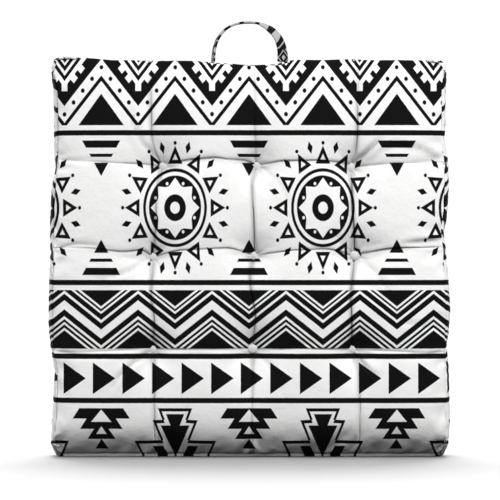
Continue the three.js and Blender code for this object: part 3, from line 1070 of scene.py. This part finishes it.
LOOSE_FOLDS = (  # face, depth, width and route, in millimetres
    (-1, 3.2, 3.6, ((166, 477), (188, 497), (210, 518), (222, 526))),
    (-1, 1.8, 6.0, ((210, 500), (240, 512), (280, 506), (318, 486))),
    (-1, 2.6, 3.6, ((250, 352), (275, 354), (298, 356), (322, 360))),
    (-1, 2.8, 3.2, ((-160, 176), (-190, 156), (-216, 132), (-230, 110))),
    (-1, 1.8, 3.4, ((246, 225), (280, 218), (320, 211))),
    (-1, 2.0, 4.0, ((-150, 490), (-175, 515), (-190, 545), (-196, 580))),
    (-1, 1.6, 3.4, ((20, 474), (45, 455), (60, 430), (66, 405))),
    (-1, 1.7, 3.6, ((-170, 322), (-200, 305), (-235, 296), (-270, 294))),
    (-1, 2.2, 3.4, ((182, 325), (205, 305), (225, 280), (236, 250))),
    (-1, 2.4, 3.2, ((172, 172), (188, 152), (200, 140), (216, 132))),
    (-1, 1.6, 3.4, ((12, 172), (35, 150), (52, 120), (58, 90))),
    (-1, 1.5, 3.0, ((-100, 96), (-102, 80), (-101, 60), (-98, 44))),
    (1, 2.2, 4.5, ((161, 479), (130, 510), (110, 545), (104, 580))),
    (1, 1.8, 4.0, ((-161, 328), (-200, 345), (-240, 350), (-290, 346))),
    (1, 1.6, 4.5, ((0, 177), (-30, 150), (-60, 118), (-70, 90))),
    (1, 1.5, 4.0, ((161, 177), (195, 160), (235, 150), (270, 152))),
)


# ---- operators -------------------------------------------------------------------------------------------
def sizes():
    """The cover's settings."""
    return bpy.context.scene.cushion_cover


def finish_piece(item, body, slot, *nodes):
    """Hides the CAD nodes a piece stands for and puts it on its body, if it has one. slot is not used."""
    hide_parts(*nodes)
    if body:
        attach(item, body)


def cut_piece(whole, part):
    """One sewn piece of the cover: its faces alone, with a thickness."""
    only(whole)
    bpy.ops.object.duplicate()
    piece = bpy.context.view_layer.objects.active
    piece.name = f"cover_{part}"
    piece.data.name = piece.name
    work = bmesh.new()
    work.from_mesh(piece.data)
    wanted = PARTS.index(part)
    bmesh.ops.delete(work, geom=[f for f in work.faces if f.material_index != wanted], context="FACES")
    for face in work.faces:
        face.material_index = 0
    work.to_mesh(piece.data)
    work.free()
    piece.data.materials.clear()
    thicken = piece.modifiers.new("thickness", "SOLIDIFY")
    thicken.thickness = sizes().thickness
    thicken.offset = -1
    apply_modifiers(piece)
    piece.data.shade_smooth()
    return piece


class CUSHION_OT_cover(bpy.types.Operator):
    """Makes the stuffed cover, its creases and its seams, and cuts it into its six sewn pieces"""

    bl_idname = "cushion.cover"
    bl_label = "Cover"

    def execute(self, context):
        settings = sizes()
        whole = stuffed_cover(settings)
        smooth = whole.modifiers.new("smooth", "SUBSURF")
        smooth.levels = smooth.render_levels = 1
        apply_modifiers(whole)
        calm_boxing(whole, settings.side_inset, 0.0008)
        press_creases(whole)
        pleat_tufts(whole)
        co, out = places(whole), normals(whole).copy()
        # the crease weights and the loose folds also give the painted shade that darkens the cloth's colour
        shade = group_weights(whole, "creases")
        for side, depth, width, route in LOOSE_FOLDS:
            shade = np.maximum(shade, crease(co, out, route, depth, width, side))
        set_places(whole, co)
        draw_seams(whole)
        press_tabs(whole)
        rest_on_floor(whole)
        paint_cloth_shade(whole, soft_shade(whole, shade))
        straighten_print(whole)
        finish = cloth_finish("printed cover cloth", context.scene.cushion_colours, printed, crumple=0.0012)
        for part in PARTS:
            piece = cut_piece(whole, part)
            piece.data.materials.append(finish)
            finish_piece(piece, "cushion", "printed_cover_fabric", part)
        return {"FINISHED"}


class CUSHION_OT_fill(bpy.types.Operator):
    """Makes the fibre fill, a little smaller than the cover that holds it"""

    bl_idname = "cushion.fill"
    bl_label = "Fill"

    def execute(self, context):
        form = bpy.data.objects["cover_form"]
        form.name = form.data.name = "fiber_fill_block"
        form.data.materials.clear()
        clearance = sizes().thickness + 0.001
        set_places(form, places(form) - normals(form) * clearance)
        thin = form.modifiers.new("fewer faces", "DECIMATE")
        thin.ratio = 0.25
        apply_modifiers(form)
        form.data.shade_smooth()
        form.data.materials.append(fill_finish(context.scene.cushion_colours))
        finish_piece(form, "cushion", "polyester_fill", "fiber_fill")
        return {"FINISHED"}


class CUSHION_OT_buttons(bpy.types.Operator):
    """Makes the covered buttons, one on each side of every tuft"""

    bl_idname = "cushion.buttons"
    bl_label = "Buttons"

    def execute(self, context):
        radius = context.scene.cushion_strap.button_radius
        bpy.ops.object.select_all(action="DESELECT")
        bpy.ops.mesh.primitive_uv_sphere_add(segments=32, ring_count=16, radius=radius)
        model = context.view_layer.objects.active
        dome, back, gathers = 0.45, 0.22, 14  # heights as shares of the radius, and folds round the rim
        co = places(model)
        height = co[:, 2] / radius
        co[:, 2] = np.where(height > 0, height * dome, height * back) * radius
        round_angle = np.arctan2(co[:, 1], co[:, 0])
        rim = 1 - np.abs(height)
        pleats = 1 + 0.02 * np.sin(round_angle * gathers) * rim
        co[:, :2] *= pleats[:, None]
        set_places(model, co)
        only(model)
        bpy.ops.object.shade_smooth()
        cloth_width, rise = 0.03, 0.0012  # of the cloth on a button, and of a button over its tuft
        bare = lambda x, z: x * 0.0 + z * 0.0
        # paleness 0.74 is painted shade: it darkens the buttons' white cloth like the shade in the dimples
        # they sit in
        finish = cloth_finish("covered button cloth", context.scene.cushion_colours, bare, paleness=0.74)
        model.data.materials.append(finish)
        model.data.uv_layers[0].name = "cloth"
        for corner in model.data.uv_layers[0].data:
            corner.uv *= cloth_width
        for side, way, tufts in zip(("front", "back"), (-1, 1), tufts_of(bpy.data.objects["cover_form"])):
            for (row, column), tuft in zip(SPOTS, tufts):
                button = model.copy()
                button.data = model.data.copy()
                button.name = button.data.name = f"button_{side}_{row}_{column}"
                context.scene.collection.objects.link(button)
                turn = Matrix.Rotation(-way * math.pi / 2, 4, "X")
                lift = Vector((0, way * rise, 0))
                button.data.transform(Matrix.Translation(tuft + lift) @ turn)
                finish_piece(button, "cushion", "button_fabric", f"{side}_button_row{row}_{column}")
        bpy.data.objects.remove(model)
        return {"FINISHED"}


def swept(name, route, section):
    """A closed mesh that carries a section along a route. section takes a place's number and the route's
    direction there, and returns the offsets of the points round that place."""
    points = []
    for number, place in enumerate(route):
        ahead = route[min(number + 1, len(route) - 1)] - route[max(number - 1, 0)]
        points += [place + offset for offset in section(number, ahead.normalized())]
    around = len(points) // len(route)
    faces = []
    for n in range(len(route) - 1):
        for k in range(around):
            a, b = n * around + k, n * around + (k + 1) % around
            faces.append([a, b, b + around, a + around])
    faces.append(list(range(around))[::-1])
    faces.append([(len(route) - 1) * around + k for k in range(around)])
    item = mesh_object(name, points, faces)
    only(item)
    bpy.ops.object.mode_set(mode="EDIT")
    bpy.ops.mesh.select_all(action="SELECT")
    bpy.ops.mesh.normals_make_consistent(inside=False)
    bpy.ops.object.mode_set(mode="OBJECT")
    bpy.ops.object.shade_smooth()
    return item


class CUSHION_OT_twine(bpy.types.Operator):
    """Makes the three-ply tufting twines, each from a front button to a back button"""

    bl_idname = "cushion.twine"
    bl_label = "Twine"

    def execute(self, context):
        finish = thread_finish("tufting twine", context.scene.cushion_colours.twine, 2.4)
        radius, plies, lay = 0.00085, 3, 0.009  # lay is the length of one turn of a ply
        steps, around = 40, 12
        fronts, backs = tufts_of(bpy.data.objects["cover_form"])
        for (row, column), start, end in zip(SPOTS, fronts, backs):
            route = [start.lerp(end, n / steps) for n in range(steps + 1)]

            def section(number, _):
                turn = 2 * math.pi * number * (end - start).length / steps / lay
                offsets = []
                for k in range(around):
                    t = 2 * math.pi * k / around
                    r = radius * (1 + 0.22 * math.cos(plies * (t - turn)))
                    offsets.append(Vector((r * math.cos(t), 0, r * math.sin(t))))
                return offsets

            twine = swept(f"twine_{row}_{column}", route, section)
            twine.data.materials.append(finish)
            finish_piece(twine, "cushion", "tufting_twine", f"tuft_twine_row{row}_{column}")
        return {"FINISHED"}


TWIST = (  # share of the way from the crest to a foot, share of the whole twist
    (-1, 0.24), (-0.5, 0.18), (0, 0.02), (0.12, 0.12), (0.32, 0.54), (0.6, 0.74), (0.8, 0.86), (1, 1.0),
)


def tab_height():
    """Height of the top boxing's cloth under the handle's tabs."""
    half_width, half_length = 0.010, 0.014  # of the patch of cloth that is measured
    co = places(bpy.data.objects["cover_form"])
    beside = np.abs(np.abs(co[:, 0]) - (HALF_SPAN + TAB_END) / 2)
    patch = (np.abs(co[:, 1]) < half_width) & (beside < half_length) & (co[:, 2] > HEIGHT / 2)
    return float(np.median(co[patch][:, 2]))


def strap_route(steps=96):
    """The strap's centreline from its left end to its right."""
    clearance, bend, fullness = 0.0003, 0.004, 2.5  # fullness of the arch: 2 would be an ellipse
    half = bpy.context.scene.cushion_strap.thickness / 2
    flat = tab_height() + half + clearance
    foot = [Vector((x, 0, flat)) for x in np.linspace(-TAB_END, -HALF_SPAN - bend, 10)]
    for t in np.linspace(0, math.pi / 2, 7)[1:]:
        foot.append(Vector((-HALF_SPAN - bend + bend * math.sin(t), 0, flat + bend * (1 - math.cos(t)))))
    rise = STRAP_CREST - half - (flat + bend)
    arch = []
    for t in np.linspace(0, math.pi, steps)[1:-1]:
        c, s = math.cos(t), math.sin(t)
        x = -math.copysign(abs(c) ** (2 / fullness), c) * HALF_SPAN
        arch.append(Vector((x, 0, flat + bend + rise * abs(s) ** (2 / fullness))))
    return foot + arch + [Vector((-p.x, 0, p.z)) for p in foot[::-1]]


class CUSHION_OT_strap(bpy.types.Operator):
    """Makes the carry handle: one folded strap with a flat tab at each end"""

    bl_idname = "cushion.strap"
    bl_label = "Strap"

    def execute(self, context):
        settings = context.scene.cushion_strap
        route = strap_route()
        lengths = np.cumsum([0] + [(q - p).length for p, q in zip(route, route[1:])])
        middle = lengths[-1] / 2
        half, thick = settings.width / 2, settings.thickness / 2
        around = 24
        shape = []  # a flat bar with rounded edges: across and out
        for k in range(around):
            t = 2 * math.pi * k / around
            c, s = math.cos(t), math.sin(t)
            shape.append((math.copysign(abs(c) ** 0.35, c) * half, math.copysign(abs(s) ** 0.6, s) * thick))
        rise = middle - (TAB_END - HALF_SPAN) + 0.001  # along the strap, from its crest to a foot
        spots, turns = np.array(TWIST).T
        pivot = half * 0.8  # the strap turns about its back edge

        def section(number, along):
            across = Vector((0, 1, 0))
            out = across.cross(along).normalized()
            s = lengths[number] - middle
            sewn = min(max((rise - abs(s)) / 0.007, 0), 1)
            angle = settings.twist * float(np.interp(s / rise, spots, turns)) * sewn * sewn * (3 - 2 * sewn)
            turn = Matrix.Rotation(angle, 3, along)
            return [turn @ (across * (a - pivot) + out * b) + across * pivot for a, b in shape]

        strap = swept("carry_strap", route, section)
        layer = strap.data.uv_layers.new(name="cloth")
        for loop in strap.data.loops:
            number, k = divmod(loop.vertex_index, around)
            layer.data[loop.index].uv = (lengths[number] - middle, shape[k][0])
        strap.data.materials.append(
            cloth_finish("strap cloth", context.scene.cushion_colours, strap_print, paleness=0.44)
        )
        nodes = ["handle_strap"] + [f"handle_{p}_{h}" for p in ("root", "tab") for h in ("left", "right")]
        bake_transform(strap)
        finish_piece(strap, None, "strap_fabric", *nodes)
        return {"FINISHED"}


class CUSHION_OT_stitching(bpy.types.Operator):
    """Makes the box of stitches that holds each of the handle's tabs"""

    bl_idname = "cushion.stitching"
    bl_label = "Stitching"

    def execute(self, context):
        finish = thread_finish("strap thread", context.scene.cushion_colours.thread, 0.5)
        pitch, radius, rise = 0.0028, 0.00045, 0.0004  # of the stitches, their thread and their lie on a tab
        for hand in ("left", "right"):
            low, high = (Vector(c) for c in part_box(f"handle_stitching_{hand}"))
            top = tab_height() + context.scene.cushion_strap.thickness + rise
            corners = [(low.x, low.y), (high.x, low.y), (high.x, high.y), (low.x, high.y)]
            runs = [*zip(corners, corners[1:] + corners[:1]), corners[0::2], corners[1::2]]
            made = []
            for start, end in runs:
                start, end = Vector((*start, top)), Vector((*end, top))
                stitches = max(2, round((end - start).length / pitch))
                for n in range(stitches):
                    middle = start.lerp(end, (n + 0.5) / stitches)
                    bpy.ops.object.select_all(action="DESELECT")
                    bpy.ops.mesh.primitive_uv_sphere_add(segments=8, ring_count=5, radius=radius)
                    stitch = context.view_layer.objects.active
                    long = Matrix.Diagonal((2.6, 1, 0.8, 1))
                    turn = (end - start).to_track_quat("X", "Z").to_matrix().to_4x4()
                    stitch.data.transform(Matrix.Translation(middle) @ turn @ long)
                    made.append(stitch)
            only(*made)
            bpy.ops.object.join()
            stitching = context.view_layer.objects.active
            stitching.name = stitching.data.name = f"tab_stitching_{hand}"
            bpy.ops.object.shade_smooth()
            stitching.data.materials.append(finish)
            finish_piece(stitching, "cushion", "strap_thread", f"handle_stitching_{hand}")
        return {"FINISHED"}


def light_source(kind, name, place, target, power, size):
    """A lamp at a place that points at a target. size is a disk's diameter, or a sun's angle across."""
    light = bpy.data.lights.new(name, kind)
    light.energy = power
    if kind == "SUN":
        light.angle = size
    else:
        light.shape = "DISK"
        light.size = size
    item = bpy.data.objects.new(name, light)
    bpy.context.scene.collection.objects.link(item)
    item.location = place
    item.rotation_euler = (Vector(target) - Vector(place)).to_track_quat("-Z", "Y").to_euler()
    return item


def lights_on(light, item, state):
    """Makes a light reach only an object, or every object but that one."""
    group = bpy.data.collections.new(f"{light.name} receivers")
    group.objects.link(item)
    group.collection_objects[0].light_linking.link_state = state
    light.light_linking.receiver_collection = group


def studio_world(sky, ground, seen):
    """Soft light from above that fades below the horizon, in front of a plain white background."""
    world = bpy.data.worlds.new("studio")
    world.use_nodes = True
    nodes, links = world.node_tree.nodes, world.node_tree.links
    direction = nodes.new("ShaderNodeTexCoord")
    height = nodes.new("ShaderNodeSeparateXYZ")
    links.new(direction.outputs["Generated"], height.inputs[0])
    fade = nodes.new("ShaderNodeMapRange")
    fade.interpolation_type = "SMOOTHSTEP"
    for socket, value in {"From Min": -0.15, "From Max": 0.5, "To Min": ground, "To Max": sky}.items():
        fade.inputs[socket].default_value = value
    links.new(height.outputs["Z"], fade.inputs["Value"])
    soft = nodes["Background"]
    soft.inputs["Color"].default_value = (1, 1, 1, 1)
    links.new(fade.outputs[0], soft.inputs["Strength"])
    plain = nodes.new("ShaderNodeBackground")
    plain.inputs["Color"].default_value = (1, 1, 1, 1)
    plain.inputs["Strength"].default_value = seen
    path = nodes.new("ShaderNodeLightPath")
    mix = nodes.new("ShaderNodeMixShader")
    links.new(path.outputs["Is Camera Ray"], mix.inputs[0])
    links.new(soft.outputs[0], mix.inputs[1])
    links.new(plain.outputs[0], mix.inputs[2])
    links.new(mix.outputs[0], nodes["World Output"].inputs["Surface"])
    return world


class CUSHION_OT_stage(bpy.types.Operator):
    """Sets the floor, the lights and the camera"""

    bl_idname = "cushion.stage"
    bl_label = "Stage"

    def execute(self, context):
        scene = context.scene
        bpy.ops.object.select_all(action="DESELECT")
        bpy.ops.mesh.primitive_plane_add(size=200, location=(0, 0, 0))
        floor = context.view_layer.objects.active
        floor.name = "studio_floor"
        floor.data.materials.append(floor_finish(scene.cushion_colours))
        floor.visible_diffuse = False
        scene.world = studio_world(sky=0.82, ground=0.0, seen=1.05)
        middle = (0, 0, HEIGHT / 2)
        key = light_source("AREA", "key", (1.55, -2.2, 2.5), middle, power=101, size=0.9)
        fill = light_source("AREA", "fill", (-2.8, -2.0, 1.0), middle, power=35, size=1.6)
        back = light_source("AREA", "back", (-1.6, 2.4, 1.8), middle, power=70, size=1.6)
        wash = light_source("SUN", "floor wash", (0, 1.22, 2.1), (0, 0, 0), power=2.3, size=math.radians(40))
        for light in (key, fill, back):
            lights_on(light, floor, "EXCLUDE")
        lights_on(wash, floor, "INCLUDE")
        scene.view_settings.view_transform = "Standard"
        lens, sensor = 200.0, 36.0
        field, aside, height = 0.829, 0.0008, 0.3415  # the width that is seen, and where it is seen from
        data = bpy.data.cameras.new("camera")
        data.lens, data.sensor_width = lens, sensor
        data.clip_end = 200
        camera = bpy.data.objects.new("camera", data)
        scene.collection.objects.link(camera)
        camera.location = (aside, -field * lens / sensor, height)
        camera.rotation_euler = (math.pi / 2, 0, 0)
        scene.camera = camera
        return {"FINISHED"}


class CUSHION_PT_panel(bpy.types.Panel):
    """The cushion's settings and its operators, in the order they run"""

    bl_idname = "CUSHION_PT_panel"
    bl_label = "Floor cushion"
    bl_space_type = "VIEW_3D"
    bl_region_type = "UI"
    bl_category = "Cushion"

    def draw(self, context):
        for group in GROUPS:
            settings = getattr(context.scene, group)
            for name in settings.bl_rna.properties.keys():
                if name not in ("rna_type", "name"):
                    self.layout.prop(settings, name)
        for operator in OPERATORS:
            self.layout.operator(operator.bl_idname)


GROUPS = {
    "cushion_cover": CoverSettings,
    "cushion_strap": StrapSettings,
    "cushion_colours": ColourSettings,
}
OPERATORS = (
    CUSHION_OT_stage,
    CUSHION_OT_cover,
    CUSHION_OT_buttons,
    CUSHION_OT_twine,
    CUSHION_OT_strap,
    CUSHION_OT_stitching,
    CUSHION_OT_fill,
)


def register():
    for group in (*GROUPS.values(), *OPERATORS, CUSHION_PT_panel):
        bpy.utils.register_class(group)
    for name, group in GROUPS.items():
        setattr(bpy.types.Scene, name, bpy.props.PointerProperty(type=group))


def unregister():
    for name in GROUPS:
        delattr(bpy.types.Scene, name)
    for group in (CUSHION_PT_panel, *reversed(OPERATORS), *reversed(GROUPS.values())):
        bpy.utils.unregister_class(group)


def main():
    register()
    for operator in OPERATORS:
        family, name = operator.bl_idname.split(".")
        getattr(getattr(bpy.ops, family), name)()


if __name__ == "__main__":
    main()
